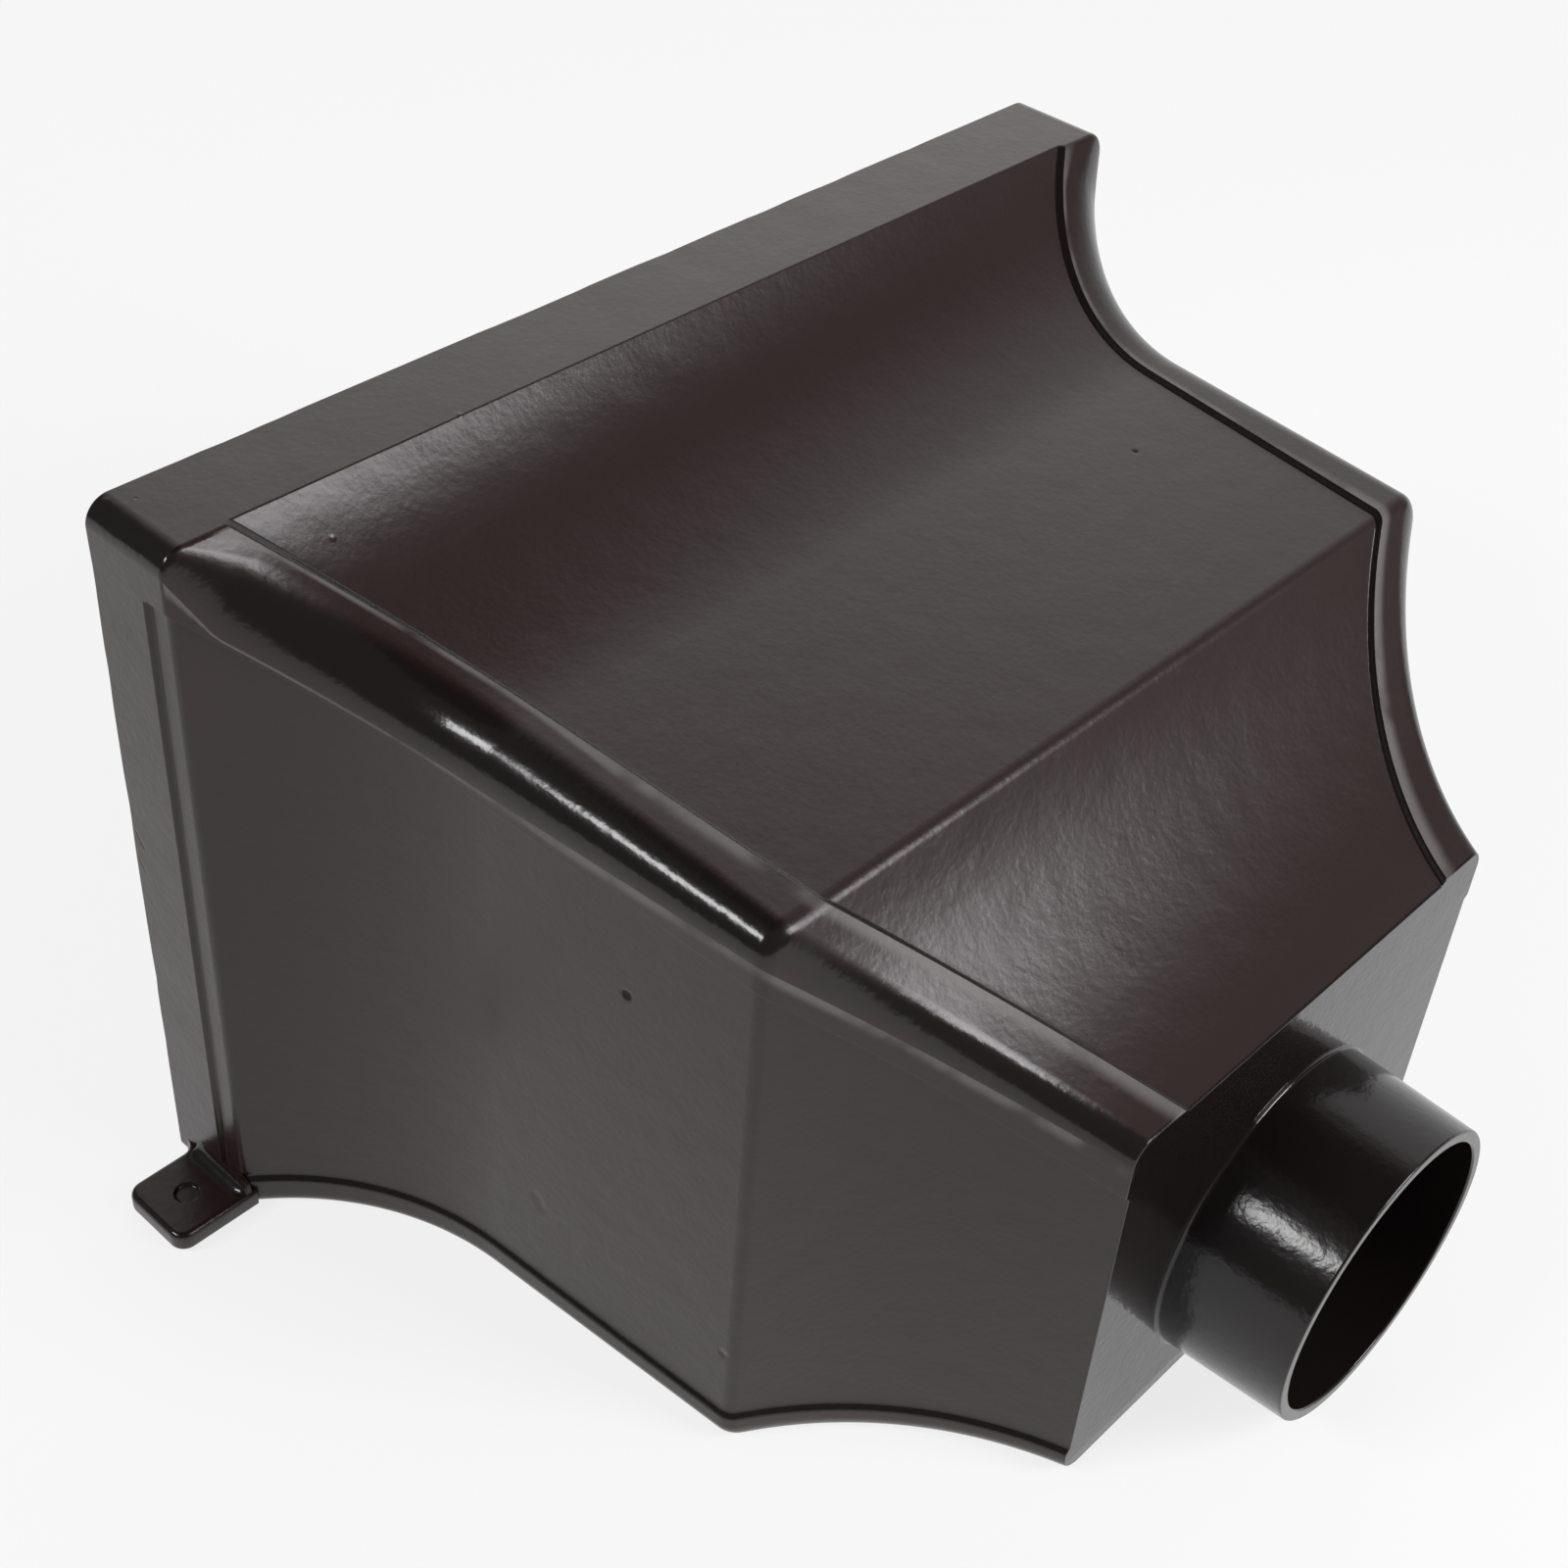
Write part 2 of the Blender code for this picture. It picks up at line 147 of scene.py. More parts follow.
class Graph:
    """A material's or world's node tree, built by one method."""

    def __init__(self, tree: bpy.types.NodeTree) -> None:
        """Keep the tree to build in, and empty it."""
        self.tree = tree
        tree.nodes.clear()

    def node(self, kind: str, settings: dict[str, Any] | None = None,
             inputs: dict[str, Any] | list[Any] | None = None, output: Any = 0) -> Value:
        """Add a node, its settings first and then its sockets.

        Args:
            kind: The node's type.
            settings: Attributes of the node.
            inputs: Values or links, by socket name or in order.
            output: Name or place of the output to return.

        Returns:
            The chosen output.
        """
        made = self.tree.nodes.new(kind)
        for name, value in (settings or {}).items():
            setattr(made, name, value)
        pairs = inputs.items() if isinstance(inputs, dict) else enumerate(inputs or [])
        for name, value in pairs:
            self.plug(made.inputs[name], value)
        return Value(self, made.outputs[output] if len(made.outputs) else None)

    def plug(self, socket: bpy.types.NodeSocket, value: Any) -> None:
        """Give a socket a link or a value.

        Args:
            socket: The input socket.
            value: A Value, an output socket, a number or a colour.
        """
        source = value.source if isinstance(value, Value) else value
        if isinstance(source, bpy.types.NodeSocket):
            self.tree.links.new(source, socket)
        else:
            socket.default_value = source

    def xyz(self) -> tuple[Value, Value, Value]:
        """Object coordinates, one by one, in metres."""
        point = self.node("ShaderNodeTexCoord", output="Object")
        split = self.node("ShaderNodeSeparateXYZ", inputs=[point]).source.node
        return tuple(Value(self, split.outputs[i]) for i in range(3))

    def vector(self, operation: str, *vectors: Any, output: int = 0) -> Value:
        """Add one Vector Math node, whose output 0 is a vector and 1 a number."""
        return self.node("ShaderNodeVectorMath", {"operation": operation}, list(vectors), output)

    def noise(self, scale: float, detail: float) -> Value:
        """Noise about 0.5 on object coordinates, by features per metre and octaves."""
        point = self.node("ShaderNodeTexCoord", output="Object")
        return self.node("ShaderNodeTexNoise",
                         inputs={"Vector": point, "Scale": scale, "Detail": detail})

    def mix(self, amount: Any, first: Any, second: Any) -> Value:
        """Blend two colours, by the share of the second."""
        inputs = {0: amount, 6: first, 7: second}
        return self.node("ShaderNodeMix", {"data_type": "RGBA"}, inputs, output=2)


class MarkKind(Enum):
    """What handling and moulding left in the plastic."""

    DENT = "dent"
    NIB = "nib"
    STAIN = "stain"
    SCRATCH = "scratch"


@dataclass(frozen=True)
class Mark:
    """One mark along a short line, with its ends in millimetres."""

    kind: MarkKind
    first: Place
    last: Place
    radius: float
    depth: float = 0.0

    def mask(self, graph: Graph) -> Value:
        """How much of the mark is at each point.

        Args:
            graph: The material's tree.

        Returns:
            A value from 0 outside the mark to 1 on its line.
        """
        start, run = Vector(self.first) * MM, (Vector(self.last) - Vector(self.first)) * MM
        point = graph.node("ShaderNodeTexCoord", output="Object")
        away = graph.vector("SUBTRACT", point, tuple(start))
        if run.length > 0:
            along = graph.vector("DOT_PRODUCT", away, tuple(run / run.length_squared), output=1)
            share = along.kept()
            nearest = graph.node("ShaderNodeVectorMath", {"operation": "SCALE"},
                                 {"Vector": tuple(run), "Scale": share})
            away = graph.vector("SUBTRACT", away, nearest)
        distance = graph.vector("LENGTH", away, output=1)
        return 1 - distance.step(0.0, self.radius * MM)


MARKS = (
    Mark(MarkKind.STAIN, (-101.2, -104.4, -106.7), (-101.2, -104.4, -106.7), 1.9, 0.35),
    Mark(MarkKind.STAIN, (63.3, -139.6, -88.8), (63.3, -139.6, -88.8), 1.3, 0.20),
    Mark(MarkKind.DENT, (-102.4, -31.4, -84.0), (-102.4, -29.4, -85.2), 2.6, 0.12),
    Mark(MarkKind.DENT, (-99.4, -25.4, -133.7), (-99.4, -25.4, -133.7), 1.8, 0.25),
    Mark(MarkKind.NIB, (-63.9, -168.6, -20.9), (-63.9, -168.6, -20.9), 0.9, 0.10),
    Mark(MarkKind.DENT, (-99.9, -160.6, -28.0), (-99.9, -160.6, -28.0), 0.9, 0.12),
    Mark(MarkKind.DENT, (-124.4, -168.7, -5.4), (-124.4, -168.7, -5.4), 0.6, 0.08),
    Mark(MarkKind.DENT, (-132.0, -93.2, -1.6), (-132.0, -90.2, -3.6), 0.6, 0.12),
    Mark(MarkKind.DENT, (-132.0, -86.4, -1.4), (-132.0, -83.4, -2.9), 0.5, 0.10),
    Mark(MarkKind.SCRATCH, (-129.2, -168.7, -0.8), (-127.8, -168.7, -2.0), 0.5),
    Mark(MarkKind.SCRATCH, (-66.6, -168.7, -0.8), (-65.0, -168.7, -4.6), 0.45),
    Mark(MarkKind.SCRATCH, (-50.6, -168.7, -1.2), (-49.0, -168.7, -4.8), 0.40),
    Mark(MarkKind.SCRATCH, (-43.6, -168.7, -0.6), (-41.8, -168.7, -4.2), 0.45),
    Mark(MarkKind.SCRATCH, (37.0, -168.7, -0.6), (38.6, -168.7, -2.6), 0.35),
)


@dataclass(frozen=True)
class BrownPlastic:
    """Glossy dark brown moulded plastic with a slight orange peel, its marks, and a painted
    highlight along the bead edges.
    """

    brown: Colour = (0.0220, 0.0114, 0.0104, 1.0)
    polished: Colour = (0.0105, 0.0076, 0.0070, 1.0)
    stain: Colour = (0.0030, 0.0022, 0.0020, 1.0)
    scuff: Colour = (0.110, 0.085, 0.078, 1.0)
    # Pale grey of the painted highlight along the bead edges.
    painted_edge_highlight: Colour = (0.150, 0.140, 0.135, 1.0)
    face_roughness: float = 0.30
    bead_roughness: float = 0.17
    polished_roughness: float = 0.10
    spigot_roughness: float = 0.17
    # Roughness of the scratches and of the painted highlight line.
    scuff_and_highlight_roughness: float = 0.45
    stain_roughness: float = 0.80
    cloud_roughness: float = 0.05
    ior: float = 1.46
    polish_from: Span = (188.0 * MM, 188.6 * MM)
    spigot_from: Span = (189.5 * MM, 190.5 * MM)
    bead_sideways: Span = (0.05, 0.30)
    bead_frontways: Span = (0.10, 0.35)
    # Painted highlight line: where its layer value counts, and where noise breaks it into patches.
    highlight_line: Span = (0.5, 0.9)
    highlight_patches: Span = (0.30, 0.55)
    stain_edge: Span = (0.15, 0.5)
    # How much of the painted highlight's pale grey is mixed in.
    highlight_share: float = 0.8
    scuff_share: float = 0.6
    peel_height: float = 0.050 * MM
    peel_waves: Waves = (650.0, 2.0)
    sink_height: float = 0.12 * MM
    sink_waves: Waves = (110.0, 1.0)
    polished_flatness: float = 0.4
    cloud_waves: Waves = (14.0, 3.0)
    # Size of the patches in the painted highlight.
    highlight_waves: Waves = (60.0, 3.0)
    marks: tuple[Mark, ...] = MARKS

    def beads(self, graph: Graph) -> Value:
        """A mask of the smoother rounded corners, by the way they face.

        Args:
            graph: The material's tree.

        Returns:
            A value from 0 on the panels to 1 on the beads.
        """
        normal = graph.node("ShaderNodeTexCoord", output="Normal")
        split = graph.node("ShaderNodeSeparateXYZ", inputs=[normal]).source.node
        sideways = Value(graph, split.outputs[0]).size()
        frontways = Value(graph, split.outputs[1]) * -1
        return sideways.step(*self.bead_sideways) * frontways.step(*self.bead_frontways)

    def height(self, graph: Graph, polished: Value) -> Value:
        """The skin's relief in metres, without the marks.

        Args:
            graph: The material's tree.
            polished: Mask of the base plate and spigot.

        Returns:
            The relief.
        """
        peel = graph.noise(*self.peel_waves) * self.peel_height
        sink = graph.noise(*self.sink_waves) * self.sink_height
        return peel + sink * (1 - polished * self.polished_flatness)

    def material(self) -> bpy.types.Material:
        """Build the material.

        Returns:
            The finished material.
        """
        made = bpy.data.materials.new("brown_plastic")
        made.use_nodes = True
        graph = Graph(made.node_tree)
        drop = graph.xyz()[2] * -1
        polished, spigot = drop.step(*self.polish_from), drop.step(*self.spigot_from)
        beads = self.beads(graph)
        colour = graph.mix(polished.at_least(beads), self.brown, self.polished)
        rough = self.face_roughness + (graph.noise(*self.cloud_waves) - 0.5) * self.cloud_roughness
        rough = rough.toward(self.bead_roughness, beads)
        smooth = spigot * (self.spigot_roughness - self.polished_roughness)
        rough = rough.toward(smooth + self.polished_roughness, polished)
        # Painted highlight: a pale grey, rougher line along the marked bead edges, broken into
        # patches by noise, stands in for the light those edges catch.
        line = graph.node("ShaderNodeAttribute", {"attribute_name": PAINTED_EDGE_HIGHLIGHT}, output="Fac")
        patches = graph.noise(*self.highlight_waves).step(*self.highlight_patches)
        painted_edge_highlight = line.step(*self.highlight_line) * patches
        colour = graph.mix(painted_edge_highlight * self.highlight_share, colour, self.painted_edge_highlight)
        rough = rough.toward(self.scuff_and_highlight_roughness, painted_edge_highlight)
        height = self.height(graph, polished)
        for mark in self.marks:
            mask = mark.mask(graph)
            if mark.kind is MarkKind.STAIN:
                spot = mask.step(*self.stain_edge)
                colour = graph.mix(spot, colour, self.stain)
                rough = rough.toward(self.stain_roughness, spot)
            if mark.kind is MarkKind.SCRATCH:
                colour = graph.mix(mask * self.scuff_share, colour, self.scuff)
                rough = rough.toward(self.scuff_and_highlight_roughness, mask)
            if mark.depth > 0:
                sign = 1 if mark.kind is MarkKind.NIB else -1
                height = height + mask * (sign * mark.depth * MM)
        bump = graph.node("ShaderNodeBump", inputs={"Distance": 1.0, "Height": height})
        shader = graph.node("ShaderNodeBsdfPrincipled", inputs={
            "Base Color": colour, "Roughness": rough, "IOR": self.ior, "Normal": bump})
        graph.node("ShaderNodeOutputMaterial", inputs=[shader])
        return made


@dataclass(frozen=True)
class HeadSizes:
    """Sizes of the head, its solid's but for narrower panel edges, in metres and radians."""

    rim_width: float = 264.0 * MM
    rim_depth: float = 168.7 * MM
    band_height: float = 22.6 * MM
    band_edge_radius: float = 1.6 * MM
    waist_drop: float = 72.6 * MM
    waist_inset: float = 27.5 * MM
    front_waist_inset: float = 26.6 * MM
    face_lean: float = math.radians(3.6)
    ridge_drop: float = 136.8 * MM
    ridge_radius: float = 4.5 * MM
    lower_curve_turn: float = math.radians(41.0)
    base_drop: float = 188.7 * MM
    base_inset: float = 73.7 * MM
    front_base_inset: float = 72.1 * MM
    rim_corner_radius: float = 5.3 * MM
    cove_corner_radius: float = 11.5 * MM
    corner_swell_height: float = 5.0 * MM
    waist_corner_radius: float = 10.5 * MM
    ridge_corner_radius: float = 6.6 * MM
    base_corner_radius: float = 4.7 * MM
    rim_back_radius: float = 2.4 * MM
    base_back_radius: float = 5.4 * MM
    front_bead_width: float = 14.1 * MM
    side_bead_width: float = 12.3 * MM
    back_bead_width: float = 6.4 * MM
    panel_recess: float = 1.0 * MM
    front_edge: float = 1.6 * MM
    side_edge: float = 1.2 * MM
    back_edge: float = 2.0 * MM
    side_panel_top: float = 15.6 * MM
    side_band_radius: float = 2.4 * MM
    wall: float = 3.5 * MM
    back_wall: float = 2.5 * MM
    floor: float = 3.0 * MM
    smallest_inner_radius: float = 1.2 * MM
    smallest_outer_radius: float = 0.6 * MM
    edge_round: float = 0.4 * MM


class Cove:
    """A hollow arc of the outline in (inset, height), its slopes measured from straight down."""

    def __init__(self, start: Point, end: Point, start_slope: float) -> None:
        """Work out the arc.

        Args:
            start: Its upper end.
            end: Its lower end.
            start_slope: Its slope at the upper end.
        """
        chord_slope = math.atan2(end[0] - start[0], start[1] - end[1])
        self.start_slope = start_slope
        self.end_slope = 2 * chord_slope - start_slope
        half_turn = (self.start_slope - self.end_slope) / 2
        self.radius = math.dist(start, end) / (2 * math.sin(half_turn))
        self.centre = (start[0] - self.radius * math.cos(start_slope),
                       start[1] - self.radius * math.sin(start_slope))

    def point(self, slope: float, offset: float) -> Point:
        """The arc's point at a slope.

        Args:
            slope: The slope there.
            offset: How far into the wall it is moved.

        Returns:
            Its inset and height.
        """
        reach = self.radius + offset
        inset = self.centre[0] + reach * math.cos(slope)
        height = self.centre[1] + reach * math.sin(slope)
        return inset, height

    def slope_at_inset(self, inset: float, offset: float) -> float:
        """Slope of the offset arc at an inset."""
        return math.acos((inset - self.centre[0]) / (self.radius + offset))

    def slope_at_height(self, height: float, offset: float) -> float:
        """Slope of the offset arc at a height."""
        return math.asin((height - self.centre[1]) / (self.radius + offset))

    def points(self, first: float, last: float, offset: float, steps: int) -> list[Point]:
        """Evenly spaced points between two slopes, moved into the wall by the offset."""
        return [self.point(slope, offset) for slope in spread(first, last, steps)]


def spread(first: float, last: float, steps: int) -> list[float]:
    """Evenly spaced numbers from the first to the last, both included."""
    return [first + (last - first) * i / steps for i in range(steps + 1)]


def between(value: float, knots: list[float], levels: list[float]) -> float:
    """Straight-line interpolation, level past both ends.

    Args:
        value: Where to read.
        knots: Rising places.
        levels: The value at each place.

    Returns:
        The value read.
    """
    if value <= knots[0]:
        return levels[0]
    for low, high, start, end in zip(knots, knots[1:], levels, levels[1:]):
        if value <= high:
            return start + (end - start) * (value - low) / (high - low)
    return levels[-1]


def ease(share: float) -> float:
    """A smooth step from 0 to 1."""
    share = min(max(share, 0.0), 1.0)
    return share * share * (3 - 2 * share)


class Outline:
    """The head's side outlines and its rings in plan."""

    cove_steps: int = 36
    inner_steps: int = 14
    round_steps: int = 8
    corner_steps: int = 18
    back_steps: int = 10
    edge_steps: int = 8
    front_steps: int = 50
    side_steps: int = 40

    def __init__(self, sizes: HeadSizes) -> None:
        """Work out the two hollow curves.

        Args:
            sizes: The head's sizes.
        """
        self.s = s = sizes
        waist = (s.waist_inset, -s.waist_drop)
        chord = math.atan2(s.waist_inset, s.waist_drop - s.band_height)
        self.upper = Cove((0.0, -s.band_height), waist, 2 * chord - s.face_lean)
        fall = s.ridge_drop - s.waist_drop
        ridge = (s.waist_inset + fall * math.tan(s.face_lean), -s.ridge_drop)
        chord = math.atan2(s.base_inset - ridge[0], s.base_drop - s.ridge_drop)
        base = (s.base_inset, -s.base_drop)
        self.lower = Cove(ridge, base, chord + s.lower_curve_turn / 2)

    def rounding(self, corner: Point, slope_in: float, slope_out: float,
                 radius: float) -> tuple[list[Point], float]:
        """A rounded outward corner of the outline.

        Args:
            corner: The sharp corner's inset and height.
            slope_in: Slope before it.
            slope_out: Slope after it.
            radius: Radius of the rounding.

        Returns:
            Its points, and the length it takes on each side.
        """
        length = radius * math.tan((slope_out - slope_in) / 2)
        start = (corner[0] - length * math.sin(slope_in), corner[1] + length * math.cos(slope_in))
        found = []
        for slope in spread(slope_in, slope_out, self.round_steps):
            inset = start[0] + radius * (math.cos(slope_in) - math.cos(slope))
            height = start[1] - radius * (math.sin(slope) - math.sin(slope_in))
            found.append((inset, height))
        return found, length

    def ridge_slope(self, offset: float) -> float:
        """Slope of the lower curve where the leaning face meets it.

        Args:
            offset: How far both lie in the wall.

        Returns:
            The slope.
        """
        waist = self.upper.point(self.upper.end_slope, offset)
        lean = (math.sin(self.s.face_lean), -math.cos(self.s.face_lean))
        across = (waist[0] - self.lower.centre[0], waist[1] - self.lower.centre[1])
        along = across[0] * lean[0] + across[1] * lean[1]
        reach = self.lower.radius + offset
        run = -along - math.sqrt(along ** 2 - across[0] ** 2 - across[1] ** 2 + reach ** 2)
        return self.lower.slope_at_height(waist[1] + run * lean[1], offset)

    def outside(self, band_sunk: float, sunk: float) -> list[Point]:
        """The outside from the rim's top edge to the base plate.

        Args:
            band_sunk: How far the band's lower part is sunk.
            sunk: How far everything below the band is sunk.

        Returns:
            Its insets and heights.
        """
        s = self.s
        upper, lower = self.upper, self.lower
        band_slope = upper.slope_at_inset(band_sunk, sunk)
        foot_slope = self.ridge_slope(sunk)
        base_slope = lower.slope_at_height(-s.base_drop, sunk)
        band_radius = max(s.band_edge_radius - sunk, s.smallest_outer_radius)
        if band_sunk > 0:
            band_radius = s.side_band_radius
        ridge_radius = max(s.ridge_radius - sunk, s.smallest_outer_radius)
        rim, _ = self.rounding((0.0, 0.0), -math.pi / 2, 0.0, s.edge_round)
        band, band_length = self.rounding(upper.point(band_slope, sunk), 0.0, band_slope,
                                          band_radius)
        ridge, ridge_length = self.rounding(lower.point(foot_slope, sunk), s.face_lean, foot_slope,
                                            ridge_radius)
        base, base_length = self.rounding(lower.point(base_slope, sunk), base_slope, math.pi / 2,
                                          s.edge_round)
        upper_slope = band_slope - band_length / (upper.radius + sunk)
        lower_slope = foot_slope - ridge_length / (lower.radius + sunk)
        base_slope += base_length / (lower.radius + sunk)
        step = [(band_sunk * ease(t), -s.side_panel_top - s.side_edge * t)
                for t in spread(0.0, 1.0, self.edge_steps)]
        found = rim + step + band
        found += upper.points(upper_slope, upper.end_slope, sunk, self.cove_steps)[1:]
        found += ridge
        found += lower.points(lower_slope, base_slope, sunk, self.cove_steps)[1:-1]
        return found + base

    def inside(self) -> list[Point]:
        """Insets and heights of the inside, from the floor to the rim's top edge."""
        s = self.s
        band_slope = self.upper.slope_at_inset(s.wall, s.wall)
        floor_slope = self.lower.slope_at_height(s.floor - s.base_drop, s.wall)
        lip = self.rounding((0.0, 0.0), -math.pi / 2, 0.0, s.edge_round)[0]
        found = [(s.wall - inset, height) for inset, height in lip]
        found += self.upper.points(band_slope, self.upper.end_slope, s.wall, self.inner_steps)
        found += self.lower.points(self.ridge_slope(s.wall), floor_slope, s.wall, self.inner_steps)
        return list(reversed(found))

    def corner_radius(self, height: float) -> float:
        """Radius of the upright front corner at a height."""
        s = self.s
        drops = [s.band_height, s.band_height + s.corner_swell_height, s.waist_drop,
                 s.ridge_drop, s.base_drop]
        radii = [s.rim_corner_radius, s.cove_corner_radius, s.waist_corner_radius,
                 s.ridge_corner_radius, s.base_corner_radius]
        return between(-height, drops, radii)

    def back_radius(self, height: float) -> float:
        """Radius of the upright back edge at a height."""
        s = self.s
        return between(-height, [s.band_height, s.base_drop],
                       [s.rim_back_radius, s.base_back_radius])

    def front_y(self, inset: float) -> float:
        """Place of the front where the sides are set in by an inset."""
        s = self.s
        if inset < s.waist_inset:
            return inset * s.front_waist_inset / s.waist_inset - s.rim_depth
        share = (inset - s.waist_inset) / (s.base_inset - s.waist_inset)
        across = s.front_waist_inset + share * (s.front_base_inset - s.front_waist_inset)
        return across - s.rim_depth

    def step(self, first: Vector, last: Vector, axis: int) -> list[Vector]:
        """The S-shaped wall between a bead and a panel.

        Args:
            first: Its first point.
            last: Its last point.
            axis: The axis along which it runs evenly, from 0 to 2.

        Returns:
            Its points.
        """
        found = []
        for share in spread(0.0, 1.0, self.edge_steps):
            point = first.lerp(last, ease(share))
            point[axis] = first[axis] + (last[axis] - first[axis]) * share
            found.append(point)
        return found

    def arc(self, centre: Vector, radius: float, first: float, last: float,
            steps: int) -> list[Vector]:
        """A rounded corner in plan, from its first angle to its last."""
        return [centre + radius * Vector((math.cos(a), math.sin(a), 0.0))
                for a in spread(first, last, steps)]

    def panel_edges(self, count: int) -> list[int]:
        """Places in a ring of the bead's edges beside the side panel and the front panel.

        Args:
            count: Number of points in a ring.

        Returns:
            The places, on both sides of the head.
        """
        side = 2 + self.back_steps + 2 * self.edge_steps + self.side_steps
        front = side + 2 + self.corner_steps
        places = [side + 1, front]
        return places + [count - place for place in places]

    def ring(self, bead: Point, side: Point, front: Point, inner: bool = False) -> list[Vector]:
        """A closed ring round the head.

        Args:
            bead: Inset and height of the beads.
            side: Inset and height of the side panels.
            front: Inset and height of the front panel.
            inner: Whether it is on the inside of the walls.

        Returns:
            The ring's points, from the middle of the back round by the right side.
        """
        s = self.s
        inset, z = bead
        x, y = s.rim_width / 2 - inset, self.front_y(inset)
        back = -s.back_wall if inner else 0.0
        back_r, front_r = self.back_radius(z), self.corner_radius(z)
        if inner:
            back_r = max(back_r - s.back_wall, s.smallest_inner_radius)
            front_r = max(front_r - s.wall, s.smallest_inner_radius)
        side_x = s.rim_width / 2 - side[0]
        side_back = Vector((side_x, -s.back_bead_width - s.back_edge, side[1]))
        side_front = Vector((side_x, y + s.side_bead_width + s.side_edge, side[1]))
        front_edge = Vector((x - s.front_bead_width - s.front_edge, self.front_y(front[0]),
                             front[1]))
        middle = Vector((0.0, front_edge.y, front_edge.z))
        half = [Vector((0.0, back, z))]
        half += self.arc(Vector((x - back_r, back - back_r, z)), back_r, math.pi / 2, 0.0,
                         self.back_steps)
        half += self.step(Vector((x, -s.back_bead_width, z)), side_back, 1)
        half += [side_back.lerp(side_front, t) for t in spread(0.0, 1.0, self.side_steps)[1:-1]]
        half += self.step(side_front, Vector((x, y + s.side_bead_width, z)), 1)
        half += self.arc(Vector((x - front_r, y + front_r, z)), front_r, 0.0, -math.pi / 2,
                         self.corner_steps)
        half += self.step(Vector((x - s.front_bead_width, y, z)), front_edge, 0)
        half += [front_edge.lerp(middle, t) for t in spread(0.0, 1.0, self.front_steps)[1:]]
        return half + [Vector((-p.x, p.y, p.z)) for p in reversed(half[1:-1])]


class Skin:
    """A mesh that is made ring by ring."""

    def __init__(self) -> None:
        """Start with an empty mesh."""
        self.bm = bmesh.new()
        # Layer for the edges that get a painted highlight.
        self.painted_edge_highlight = self.bm.verts.layers.float.new(PAINTED_EDGE_HIGHLIGHT)

    def ring(self, points: list[Vector]) -> Ring:
        """Add a ring of points."""
        return [self.bm.verts.new(point) for point in points]

    def paint_edge_highlight(self, rings: list[Ring], places: list[int]) -> None:
        """Mark edges that get a painted highlight, a pale line.

        Args:
            rings: Rings that the edges cross.
            places: Places of the edges in each ring.
        """
        for ring in rings:
            for place in places:
                ring[place][self.painted_edge_highlight] = 1.0

    def join(self, first: Ring, second: Ring) -> None:
        """Skin the band between two rings of as many points.

        Args:
            first: One ring.
            second: The next ring.
        """
        for i in range(len(first)):
            j = (i + 1) % len(first)
            self.bm.faces.new((first[i], first[j], second[j], second[i]))

    def loft(self, rings: list[list[Vector]]) -> list[Ring]:
        """Skin a row of rings.

        Args:
            rings: The rings' points.

        Returns:
            The rings made.
        """
        made = [self.ring(points) for points in rings]
        for first, second in zip(made, made[1:]):
            self.join(first, second)
        return made

    def fill(self, *loops: Ring) -> None:
        """Fill the flat region between closed loops."""
        edges = []
        for loop in loops:
            for i in range(len(loop)):
                pair = (loop[i - 1], loop[i])
                edges.append(self.bm.edges.get(pair) or self.bm.edges.new(pair))
        bmesh.ops.triangle_fill(self.bm, use_beauty=True, edges=edges)

    def finish(self, name: str, material: bpy.types.Material, crease: float) -> bpy.types.Object:
        """Turn the skin into an object whose flat faces look flat.

        Args:
            name: The object's name.
            material: Its finish.
            crease: Angle past which an edge stays sharp.

        Returns:
            The object, linked to the scene.
        """
        bmesh.ops.recalc_face_normals(self.bm, faces=self.bm.faces)
        mesh = bpy.data.meshes.new(name)
        self.bm.to_mesh(mesh)
        self.bm.free()
        mesh.materials.append(material)
        mesh.shade_smooth()
        mesh.set_sharp_from_angle(angle=crease)
        piece = bpy.data.objects.new(name, mesh)
        bpy.context.scene.collection.objects.link(piece)
        weighted = piece.modifiers.new("flat_faces", "WEIGHTED_NORMAL")
        weighted.keep_sharp = True
        return piece


def made_plain(piece: bpy.types.Object) -> bpy.types.Object:
    """Turn a piece's modifiers into its mesh.

    Args:
        piece: A piece with live modifiers.

    Returns:
        The same piece, with none.
    """
    graph = bpy.context.evaluated_depsgraph_get()
    old = piece.data
    piece.data = bpy.data.meshes.new_from_object(piece.evaluated_get(graph), depsgraph=graph)
    piece.modifiers.clear()
    bpy.data.meshes.remove(old)
    piece.data.name = piece.name
    return piece


